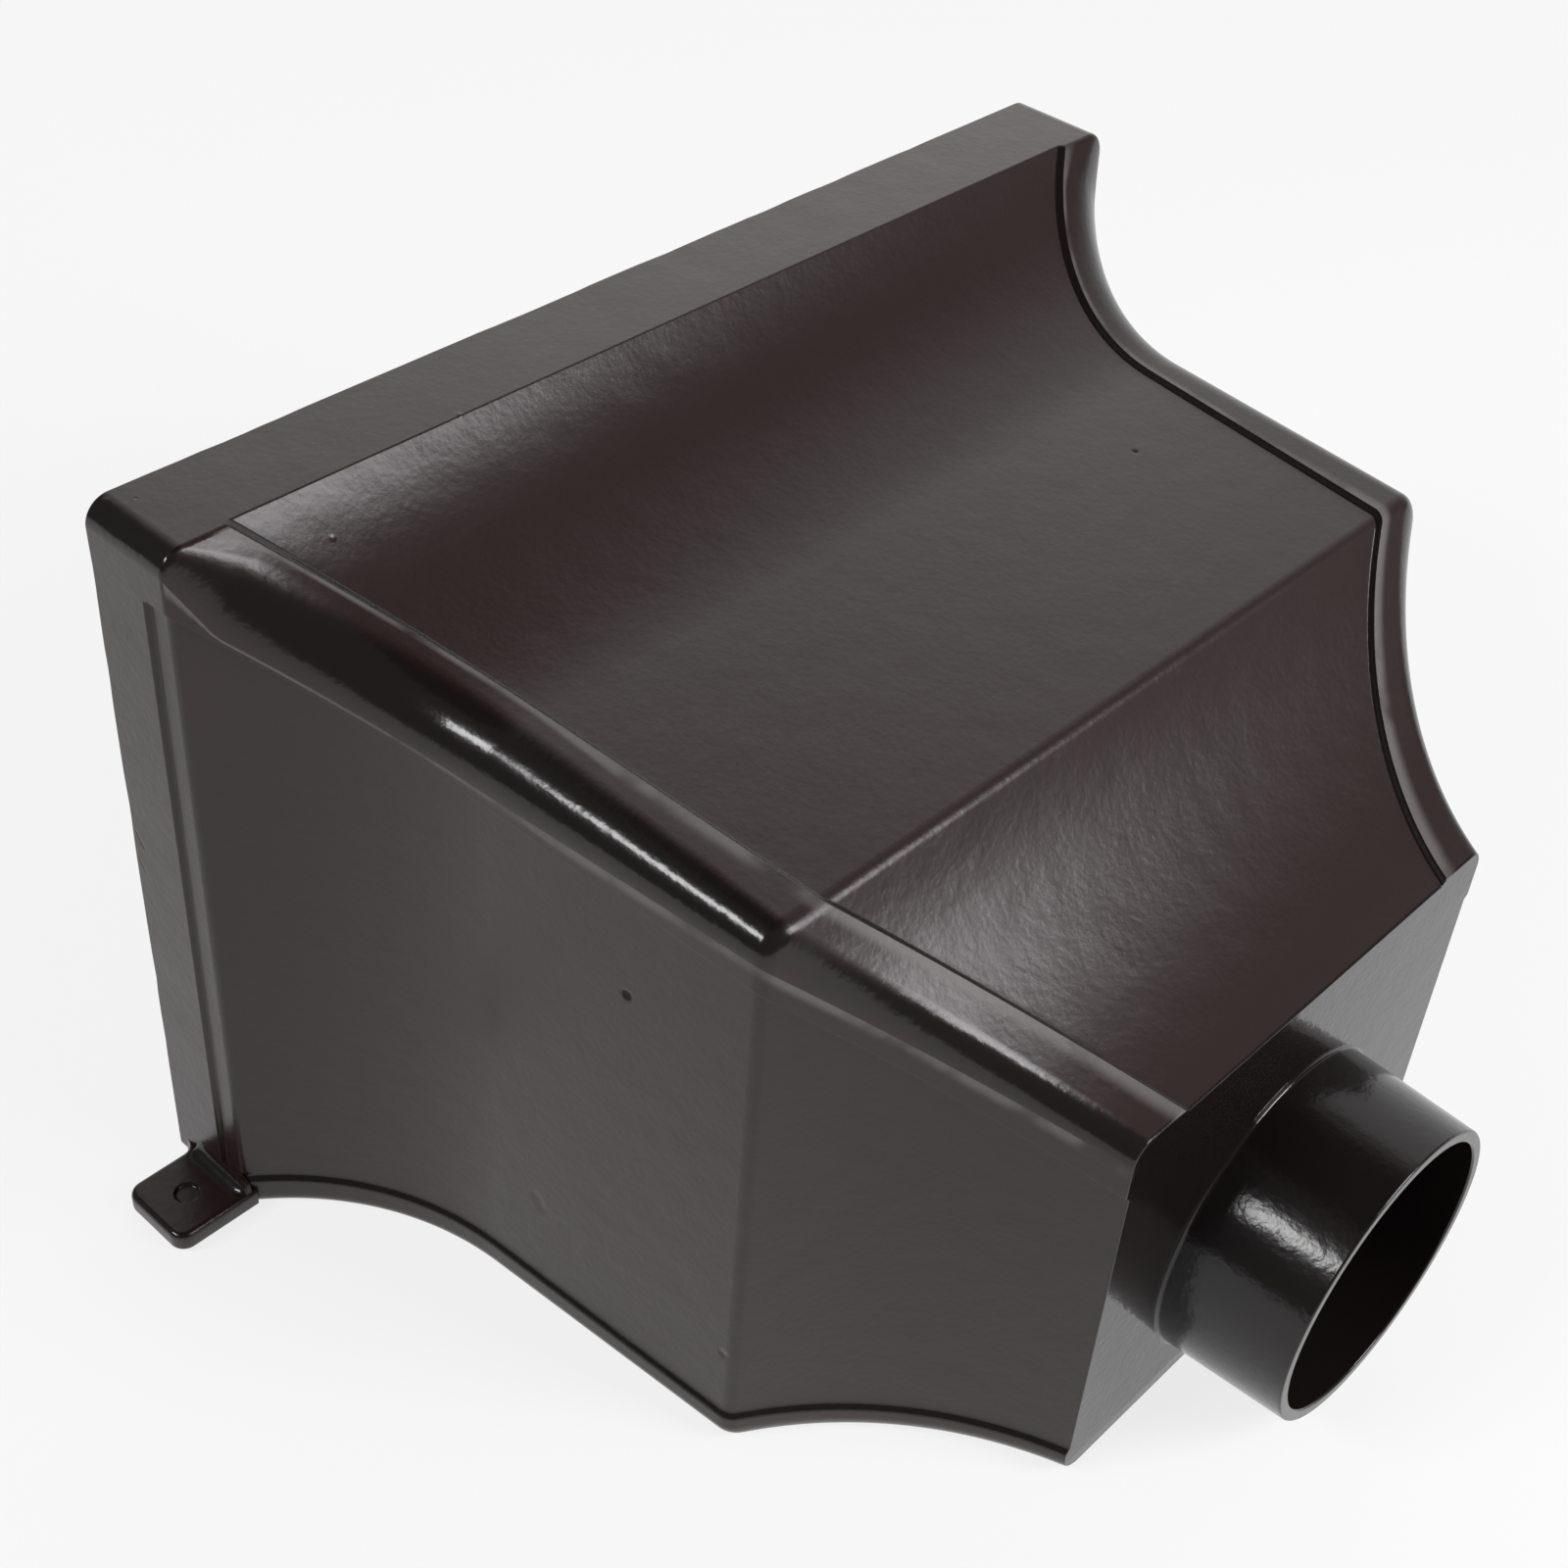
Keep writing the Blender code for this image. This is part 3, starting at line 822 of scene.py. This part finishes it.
@dataclass(frozen=True)
class UnevenRim:
    """Slight waves that trimming left in the rim's top edge, cut into the mesh."""

    depth: float = 0.2 * MM
    reach: float = 4.0 * MM
    waves: float = 55.0
    octaves: float = 2.0
    dips: Span = (0.45, 0.75)
    seed: float = 4.0

    def build(self, piece: bpy.types.Object, finish: bpy.types.Material) -> None:
        """Add the modifier.

        Args:
            piece: The piece with the rim.
            finish: Its plastic.
        """
        group = bpy.data.node_groups.new("uneven_rim", "GeometryNodeTree")
        group.interface.new_socket("Geometry", in_out="OUTPUT", socket_type="NodeSocketGeometry")
        sockets = {"Geometry": ("NodeSocketGeometry", None),
                   "Depth": ("NodeSocketFloat", self.depth),
                   "Reach": ("NodeSocketFloat", self.reach),
                   "Waves": ("NodeSocketFloat", self.waves),
                   "Seed": ("NodeSocketFloat", self.seed),
                   "Finish": ("NodeSocketMaterial", finish)}
        named = {}
        for name, (kind, _) in sockets.items():
            named[name] = group.interface.new_socket(name, in_out="INPUT", socket_type=kind)
        graph = Graph(group)
        given = graph.node("NodeGroupInput").source.node.outputs
        place = graph.node("GeometryNodeInputPosition")
        height = graph.node("ShaderNodeSeparateXYZ", inputs=[place], output="Z")
        near = graph.node("ShaderNodeMapRange", {"interpolation_type": "SMOOTHSTEP"},
                          {"Value": height, "From Min": Value(graph, given["Reach"]) * -1,
                           "From Max": 0.0})
        noise = graph.node("ShaderNodeTexNoise", {"noise_dimensions": "4D"},
                           {"W": given["Seed"], "Scale": given["Waves"],
                            "Detail": self.octaves})
        dip = noise.step(*self.dips) * near * Value(graph, given["Depth"]) * -1
        normal = graph.node("GeometryNodeInputNormal")
        inward = graph.node("ShaderNodeVectorMath", {"operation": "SCALE"},
                            {"Vector": normal, "Scale": dip})
        moved = graph.node("GeometryNodeSetPosition",
                           inputs={"Geometry": given["Geometry"], "Offset": inward})
        real = graph.node("GeometryNodeRealizeInstances", inputs={"Geometry": moved})
        done = graph.node("GeometryNodeSetMaterial",
                          inputs={"Geometry": real, "Material": given["Finish"]})
        graph.node("NodeGroupOutput", inputs={"Geometry": done})
        modifier = piece.modifiers.new("uneven_rim", "NODES")
        modifier.node_group = group
        for name, (_, value) in sockets.items():
            if value is not None:
                modifier[named[name].identifier] = value
        piece.modifiers.move(len(piece.modifiers) - 1, 0)


@dataclass
class Moulding:
    """The head's walls, base plate and outlet spigot as one skin."""

    sizes: HeadSizes = field(default_factory=HeadSizes)
    spigot_diameter: float = 68.0 * MM
    spigot_length: float = 28.5 * MM
    spigot_wall: float = 2.8 * MM
    spigot_draft: float = math.radians(2.4)
    spigot_back_gap: float = 1.9 * MM
    root_fillet: float = 0.8 * MM
    end_round: float = 0.5 * MM
    turn_steps: int = 144
    arc_steps: int = 8
    crease: float = math.radians(38)
    body: str = "root"
    node: str = "hopper_head"

    def root_radius(self) -> float:
        """Outer radius of the drafted spigot at the base plate."""
        return self.spigot_diameter / 2 + self.spigot_length * math.tan(self.spigot_draft)

    def spigot_profile(self) -> list[Point]:
        """Radii and heights from the base plate round the spigot's end to the floor inside."""
        root, end = self.root_radius(), self.spigot_diameter / 2
        bore, low = end - self.spigot_wall, -self.spigot_length
        fillet, lip = self.root_fillet, self.end_round
        turn = spread(0.0, math.pi / 2, self.arc_steps)
        profile = [(root + fillet * (1 - math.sin(a)), -fillet * (1 - math.cos(a))) for a in turn]
        profile += [(end - lip * (1 - math.cos(a)), low + lip * (1 - math.sin(a))) for a in turn]
        profile += [(bore + lip * (1 - math.sin(a)), low + lip * (1 - math.cos(a))) for a in turn]
        profile.append((bore, self.sizes.floor))
        return profile

    def spigot_rings(self) -> list[list[Vector]]:
        """The profile turned round the spigot's axis."""
        axis_y = -(self.root_radius() + self.spigot_back_gap)
        angles = spread(0.0, 2 * math.pi, self.turn_steps)[:-1]
        return [[Vector((r * math.sin(a), axis_y + r * math.cos(a), z - self.sizes.base_drop))
                 for a in angles] for r, z in self.spigot_profile()]

    def build(self, finish: bpy.types.Material) -> bpy.types.Object:
        """Make the piece, which stands for the whole solid.

        Args:
            finish: The plastic.

        Returns:
            The piece.
        """
        outline = Outline(self.sizes)
        recess = self.sizes.panel_recess
        rings = [outline.ring(point, point, point, inner=True) for point in outline.inside()]
        rings += [outline.ring(*points) for points in zip(
            outline.outside(0.0, 0.0), outline.outside(recess, recess),
            outline.outside(0.0, recess))]
        skin = Skin()
        walls = skin.loft(rings)
        spigot = skin.loft(self.spigot_rings())
        skin.fill(walls[-1], spigot[0])
        skin.fill(walls[0], spigot[-1])
        # The bead edges beside the panels, below the band, get the painted highlight line.
        below_band = [ring for ring in walls[len(outline.inside()):]
                      if ring[0].co.z < -self.sizes.band_height]
        skin.paint_edge_highlight(below_band, outline.panel_edges(len(rings[0])))
        piece = skin.finish("hopper_moulding", finish, self.crease)
        UnevenRim().build(piece, finish)
        made_plain(piece)
        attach(piece, self.body)
        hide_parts(self.node)
        return piece


@dataclass
class Lug:
    """A fixing lug beside the rim's back edge, with its fillet and its shallow drill mark."""

    side: int
    rim_width: float = 264.0 * MM
    reach: float = 18.0 * MM
    top_drop: float = 5.7 * MM
    height: float = 19.6 * MM
    thickness: float = 5.0 * MM
    corner_radius: float = 3.5 * MM
    edge_round: float = 1.3 * MM
    root_fillet: float = 3.0 * MM
    root_depth: float = 2.0 * MM
    back_gap: float = 0.2 * MM
    mark_radius: float = 2.8 * MM
    mark_depth: float = 0.8 * MM
    mark_taper: float = math.radians(30)
    steps: int = 10
    crease: float = math.radians(38)
    body: str = "root"

    def outline(self) -> list[tuple[Vector, Vector]]:
        """Points of the outline in x and z, each with its outward direction."""
        edge, r, f = self.rim_width / 2, self.corner_radius, self.root_fillet
        outer, top = edge + self.reach, -self.top_drop
        low = top - self.height
        found = [(Vector((edge - self.root_depth, low)), Vector((0.0, -1.0)))]
        corners = [(Vector((outer - r, low + r)), r, -math.pi / 2, 0.0),
                   (Vector((outer - r, top - r)), r, 0.0, math.pi / 2),
                   (Vector((edge + f, top + f)), -f, -math.pi / 2, -math.pi)]
        for centre, radius, first, last in corners:
            for share in spread(0.0, 1.0, self.steps):
                angle = first + (last - first) * share
                ray = Vector((math.cos(angle), math.sin(angle)))
                out = ray if radius > 0 else -ray * (1 - ease(share))
                found.append((centre + abs(radius) * ray, out))
        found.append((Vector((edge - self.root_depth, top + f)), Vector((0.0, 0.0))))
        return found

    def placed(self, x: float, y: float, z: float) -> Vector:
        """A point of the right lug, moved to this lug's side."""
        return Vector((x * self.side, y, z))

    def plate_rings(self) -> list[list[Vector]]:
        """Rings of the plate, from the edge of its front face to the edge of its back face."""
        front, back, r = -self.back_gap - self.thickness, -self.back_gap, self.edge_round
        turn = spread(0.0, math.pi / 2, self.steps)
        levels = [(r * (1 - math.sin(a)), front + r * (1 - math.cos(a))) for a in turn]
        levels += [(r * (1 - math.cos(a)), back - r * (1 - math.sin(a))) for a in turn]
        rings = []
        for inset, y in levels:
            points = [point - inset * out for point, out in self.outline()]
            rings.append([self.placed(point.x, y, point.y) for point in points])
        return rings

    def mark_rings(self) -> list[list[Vector]]:
        """Rings of the drill mark, from its rim to its flat bottom."""
        x = self.rim_width / 2 + self.reach / 2
        z = -self.top_drop - self.height / 2
        front = -self.back_gap - self.thickness
        soft = self.mark_depth / 4
        end = self.mark_radius - self.mark_depth * math.tan(self.mark_taper)
        levels = [(self.mark_radius + soft, 0.0), (self.mark_radius, soft / 3),
                  (end + soft, self.mark_depth - soft), (end, self.mark_depth - soft / 4),
                  (end - soft, self.mark_depth)]
        angles = spread(0.0, 2 * math.pi, 4 * self.steps)[:-1]
        return [[self.placed(x + r * math.cos(a), front + depth, z + r * math.sin(a))
                 for a in angles] for r, depth in levels]

    def fillet_rings(self) -> list[list[Vector]]:
        """Rings of the hollow fillet between the plate's front and the rim's side."""
        edge, y = self.rim_width / 2, -self.back_gap - self.thickness
        top, low = -self.top_drop - self.edge_round / 2, -self.top_drop - self.height
        low += self.edge_round / 2
        hidden = self.root_depth / 2
        rings = []
        for share in spread(0.0, 1.0, 4 * self.steps):
            ends = min(share, 1 - share) * (top - low) / self.root_fillet
            f = self.root_fillet * math.sqrt(1 - (1 - min(ends, 1.0)) ** 2) + hidden / 4
            z = top + (low - top) * share
            ring = [self.placed(x, y + hidden, z) for x in (edge - hidden, edge + f)]
            for angle in spread(math.pi / 2, math.pi, self.steps):
                ring.append(self.placed(edge + f * (1 + math.cos(angle)),
                                        y - f * (1 - math.sin(angle)), z))
            ring.append(self.placed(edge - hidden, y - f, z))
            rings.append(ring)
        return rings

    def build(self, finish: bpy.types.Material) -> bpy.types.Object:
        """Make the lug.

        Args:
            finish: The plastic.

        Returns:
            The lug.
        """
        skin = Skin()
        plate, mark = skin.loft(self.plate_rings()), skin.loft(self.mark_rings())
        fillet = skin.loft(self.fillet_rings())
        skin.fill(plate[0], mark[0])
        for ring in (mark[-1], plate[-1], fillet[0], fillet[-1]):
            skin.fill(ring)
        name = "lug_right" if self.side > 0 else "lug_left"
        piece = made_plain(skin.finish(name, finish, self.crease))
        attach(piece, self.body)
        return piece


@dataclass(frozen=True)
class SoftLamp:
    """A rectangular soft lamp that faces the object, its width level with the sheet."""

    name: str
    toward: Place
    distance: float
    size: Point
    level: float
    tint: Place

    def build(self, centre: Vector) -> bpy.types.Object:
        """Make the lamp.

        Args:
            centre: The point it faces.

        Returns:
            The lamp.
        """
        light = bpy.data.lights.new(self.name, "AREA")
        light.shape = "RECTANGLE"
        light.size, light.size_y = self.size
        light.energy = self.level * math.pi * self.size[0] * self.size[1]
        light.color = self.tint
        lamp = bpy.data.objects.new(self.name, light)
        away = Vector(self.toward).normalized()
        across = Vector((0.0, -1.0, 0.0)).cross(away).normalized()
        lamp.location = centre + away * self.distance
        lamp.rotation_euler = Matrix((across, away.cross(across), away)).transposed().to_euler()
        lamp.visible_camera = False
        bpy.context.scene.collection.objects.link(lamp)
        return lamp


@dataclass
class Studio:
    """Pale sheet in the wall plane, soft lamps, a white surround and a dark ceiling cloth."""

    sheet_gap: float = 0.5 * MM
    sheet_size: float = 6.0
    sheet_colour: Colour = (0.90, 0.90, 0.90, 1.0)
    sheet_glow: float = 0.80
    contact: Span = (4.0 * MM, 5.0 * MM)
    cloth_radius: float = 2.9
    cloth_colour: Colour = (0.03, 0.03, 0.03, 1.0)
    cloth_steps: int = 48
    overhead: Span = (0.70, 0.95)
    far_side: Place = (0.819, 0.0, 0.574)
    far_turn: Span = (0.45, 1.0)
    near_share: float = 0.86
    aim: Place = (0.0, -0.08, -0.10)
    lamps: tuple[SoftLamp, ...] = (
        SoftLamp("key", (0.322, -0.550, -0.771), 1.07, (0.46, 0.44), 13.5, (1.0, 0.97, 0.99)),
        SoftLamp("left", (-0.743, -0.616, 0.262), 2.0, (0.80, 0.32), 19.0, (1.0, 1.0, 1.0)),
        SoftLamp("far", (0.641, -0.423, 0.641), 2.2, (1.5, 1.4), 0.35, (1.0, 0.94, 0.95)),
    )

    def build(self) -> None:
        """Make the sheet, the cloth, the lamps and the world."""
        for lamp in self.lamps:
            lamp.build(Vector(self.aim))
        self.sheet()
        self.cloth()
        self.world()

    def sheet(self) -> None:
        """The pale sheet, seen from the front only."""
        mesh = bpy.data.meshes.new("pale_sheet")
        half = self.sheet_size / 2
        corners = [(-half, self.sheet_gap, -half), (half, self.sheet_gap, -half),
                   (half, self.sheet_gap, half), (-half, self.sheet_gap, half)]
        mesh.from_pydata(corners, [], [(0, 1, 2, 3)])
        material = bpy.data.materials.new("pale_sheet")
        material.use_nodes = True
        graph = Graph(material.node_tree)
        path = graph.node("ShaderNodeLightPath").source.node.outputs
        rays = [Value(graph, path[name]) for name in
                ("Is Camera Ray", "Is Glossy Ray", "Is Transmission Ray")]
        seen = (rays[0] + rays[1] + rays[2]).at_most(1.0)
        back = graph.node("ShaderNodeNewGeometry", output="Backfacing")
        near = 1 - Value(graph, path["Ray Length"]).step(*self.contact)
        pale = graph.node("ShaderNodeBsdfDiffuse", inputs={"Color": self.sheet_colour})
        white = graph.node("ShaderNodeEmission", inputs={"Color": WHITE, "Strength": 1.0})
        clear = graph.node("ShaderNodeBsdfTransparent")
        front = graph.node("ShaderNodeMixShader", inputs=[seen * self.sheet_glow, pale, white])
        shown = graph.node("ShaderNodeMixShader", inputs=[back.at_least(near), front, clear])
        graph.node("ShaderNodeOutputMaterial", inputs=[shown])
        self.placed("pale_sheet", mesh, material)

    def cloth(self) -> None:
        """A dark cloth overhead and on the near side, open on the far side, unseen itself."""
        bm = bmesh.new()
        bmesh.ops.create_uvsphere(bm, u_segments=self.cloth_steps, v_segments=self.cloth_steps,
                                  radius=self.cloth_radius)
        bmesh.ops.rotate(bm, verts=bm.verts, matrix=Matrix.Rotation(math.pi / 2, 3, "X"))
        behind = [vert for vert in bm.verts if vert.co.y > MM]
        bmesh.ops.delete(bm, geom=behind, context="VERTS")
        bmesh.ops.reverse_faces(bm, faces=bm.faces)
        mesh = bpy.data.meshes.new("dark_cloth")
        bm.to_mesh(mesh)
        bm.free()
        material = bpy.data.materials.new("dark_cloth")
        material.use_nodes = True
        graph = Graph(material.node_tree)
        x, y, z = (axis * (1 / self.cloth_radius) for axis in graph.xyz())
        across = (x * x + z * z).at_least(0.0001)
        turn = (x * self.far_side[0] + z * self.far_side[2]) / across.root()
        overhead = (y * -1).step(*self.overhead)
        near_side = 1 - turn.step(*self.far_turn)
        shade = overhead.at_least(near_side * self.near_share)
        dark = graph.node("ShaderNodeBsdfDiffuse", inputs={"Color": self.cloth_colour})
        clear = graph.node("ShaderNodeBsdfTransparent")
        shown = graph.node("ShaderNodeMixShader", inputs=[shade, clear, dark])
        graph.node("ShaderNodeOutputMaterial", inputs=[shown])
        self.placed("dark_cloth", mesh, material).visible_camera = False

    def placed(self, name: str, mesh: bpy.types.Mesh,
               material: bpy.types.Material) -> bpy.types.Object:
        """Put a piece of the studio in the scene.

        Args:
            name: Its name.
            mesh: Its mesh.
            material: Its finish.

        Returns:
            The piece.
        """
        mesh.materials.append(material)
        piece = bpy.data.objects.new(name, mesh)
        bpy.context.scene.collection.objects.link(piece)
        return piece

    def world(self) -> None:
        """A plain white surround."""
        world = bpy.data.worlds.new("studio")
        world.use_nodes = True
        graph = Graph(world.node_tree)
        sky = graph.node("ShaderNodeBackground", inputs={"Color": WHITE, "Strength": 1.0})
        graph.node("ShaderNodeOutputWorld", inputs=[sky])
        bpy.context.scene.world = world


@dataclass(frozen=True)
class PhotoCamera:
    """The camera of the photograph, in the row frame."""

    right: Place = (0.6849012, -0.0607900, -0.7260957)
    down: Place = (-0.4364915, 0.7636873, -0.4756647)
    forward: Place = (0.5834257, 0.6427179, 0.4965160)
    place_mm: Place = (-308.530, -401.726, -315.466)
    focal_px: float = 2402.38
    width_px: float = 1600.0
    sensor_mm: float = 36.0
    clip_start: float = 0.01

    def build(self) -> bpy.types.Object:
        """Make the camera and use it.

        Returns:
            The camera.
        """
        data = bpy.data.cameras.new("photo_camera")
        data.sensor_width = self.sensor_mm
        data.lens = self.focal_px / self.width_px * self.sensor_mm
        data.clip_start = self.clip_start
        camera = bpy.data.objects.new("photo_camera", data)
        columns = [Vector(self.right), -Vector(self.down), -Vector(self.forward)]
        turn = Matrix(columns).transposed().to_4x4()
        camera.matrix_world = Matrix.Translation(Vector(self.place_mm) * MM) @ turn
        bpy.context.scene.collection.objects.link(camera)
        bpy.context.scene.camera = camera
        return camera


def main() -> None:
    """Build the scene in order."""
    logging.basicConfig(level=logging.INFO, format="%(name)s: %(message)s")
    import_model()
    bpy.context.scene.view_settings.view_transform = "Standard"
    PhotoCamera().build()
    Studio().build()
    plastic = BrownPlastic().material()
    for piece in (Moulding().build(plastic), Lug(-1).build(plastic), Lug(1).build(plastic)):
        LOG.info("%s: %d vertices", piece.name, len(piece.data.vertices))


if __name__ == "__main__":
    main()
